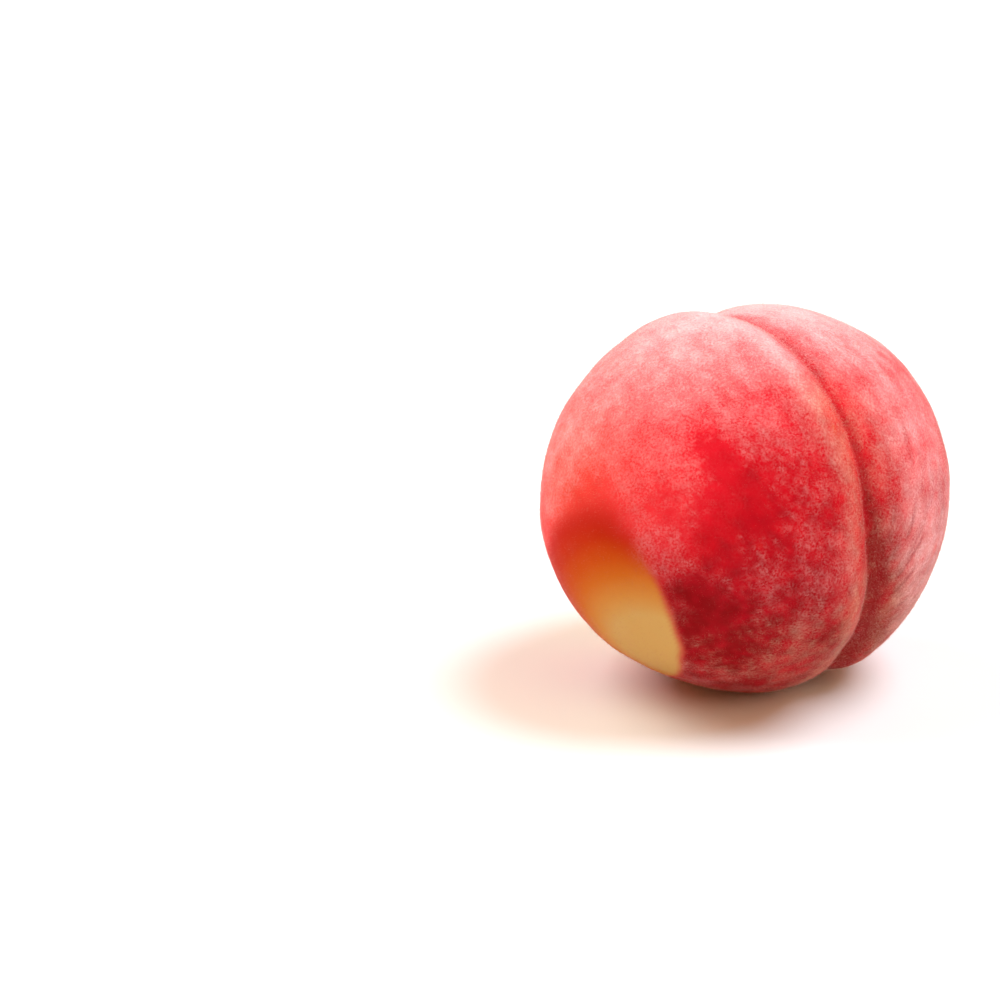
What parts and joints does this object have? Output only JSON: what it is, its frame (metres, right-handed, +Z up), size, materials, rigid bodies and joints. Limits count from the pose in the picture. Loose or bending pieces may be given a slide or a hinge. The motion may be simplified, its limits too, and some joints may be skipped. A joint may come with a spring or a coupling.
{
  "type": "peach",
  "caption": "Whole ripe peach lying on its side: plump lobes parted by a suture from the stem cavity round the tip, with downy blushed skin.",
  "frame": {"origin": "middle of the bounding box at its base, on the plane that the fruit rests on", "axes": "+Z up; the fruit lies with its stem end tipped back and to the left (-X, +Y) and its suture side forward and to the right (+X, -Y)"},
  "size_m": [0.0814, 0.0794, 0.0757],
  "materials": {
    "downy_skin": "soft matte skin with a short pale down, crimson blush over cream yellow"
  },
  "bodies": {
    "root": {"peach": "downy_skin"}
  },
  "joints": []
}
